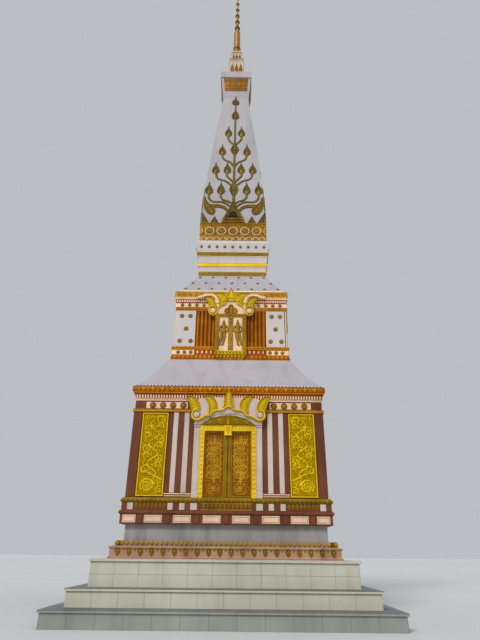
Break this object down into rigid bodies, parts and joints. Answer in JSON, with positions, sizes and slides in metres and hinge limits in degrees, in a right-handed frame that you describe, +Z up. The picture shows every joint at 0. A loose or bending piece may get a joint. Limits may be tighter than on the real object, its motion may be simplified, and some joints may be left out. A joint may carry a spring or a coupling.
{
  "type": "square tower stupa",
  "caption": "Tall white, brown and gilded square stupa on three tiled terraces, with a pair of carved doors, two roofs and a long tapering spire.",
  "frame": {"origin": "centre of the lowest terrace's footprint, at ground level", "axes": "+Z up along the mast, -Y out of the front with the pair of doors, +X to the right of someone who faces that front"},
  "size_m": [8.1, 8.1, 29.4],
  "materials": {
    "dark_tile": "satin",
    "pale_tile": "satin",
    "pink_plaster": "painted plaster",
    "grey_plaster": "painted plaster",
    "brown_paint": "painted plaster",
    "white_plaster": "painted plaster",
    "gilding": "gilded plaster relief",
    "orange_gilding": "gilded plaster on red ground",
    "gilded_wood": "gilded carving",
    "gilded_metal": "weathered gilding"
  },
  "bodies": {
    "stupa": {"base_moulding": "gilding", "door_frame_front": "gilded_wood", "door_surround_back": "white_plaster", "door_surround_front": "white_plaster", "door_surround_left": "white_plaster", "door_surround_right": "white_plaster", "false_door_back": "gilded_wood", "false_door_left": "gilded_wood", "false_door_right": "gilded_wood", "finial_pedestal": "white_plaster", "finial_shaft": "gilding", "gold_panel_back_left": "gilding", "gold_panel_back_right": "gilding", "gold_panel_front_left": "gilding", "gold_panel_front_right": "gilding", "gold_panel_left_left": "gilding", "gold_panel_left_right": "gilding", "gold_panel_right_left": "gilding", "gold_panel_right_right": "gilding", "lotus_base": "pink_plaster", "lower_cornice": "orange_gilding", "lower_roof": "white_plaster", "plinth_panel_band": "brown_paint", "plinth_wall": "grey_plaster", "spire_capital": "gilding", "spire_collar": "gilding", "spire_pedestal": "white_plaster", "spire_shaft": "white_plaster", "terrace_lower": "dark_tile", "terrace_middle": "dark_tile", "terrace_upper": "pale_tile", "umbrella_mast": "gilded_metal", "upper_base": "gilding", "upper_cornice": "orange_gilding", "upper_niche_back": "gilding", "upper_niche_front": "gilding", "upper_niche_left": "gilding", "upper_niche_right": "gilding", "upper_roof": "white_plaster", "upper_storey": "brown_paint", "wall_back": "brown_paint", "wall_front_left": "brown_paint", "wall_front_over_door": "brown_paint", "wall_front_right": "brown_paint", "wall_left": "brown_paint", "wall_right": "brown_paint"},
    "leaf_left": {"door_leaf_left": "gilded_wood"},
    "leaf_right": {"door_leaf_right": "gilded_wood"}
  },
  "joints": [
    {"name": "leaf_left_hinge", "type": "hinge", "parent": "stupa", "child": "leaf_left", "pos_m": [-0.651, -2.596, 3.7], "axis": [0, 0, 1], "range_deg": [0, 95]},
    {"name": "leaf_right_hinge", "type": "hinge", "parent": "stupa", "child": "leaf_right", "pos_m": [0.651, -2.596, 3.7], "axis": [0, 0, -1], "range_deg": [0, 95]}
  ]
}
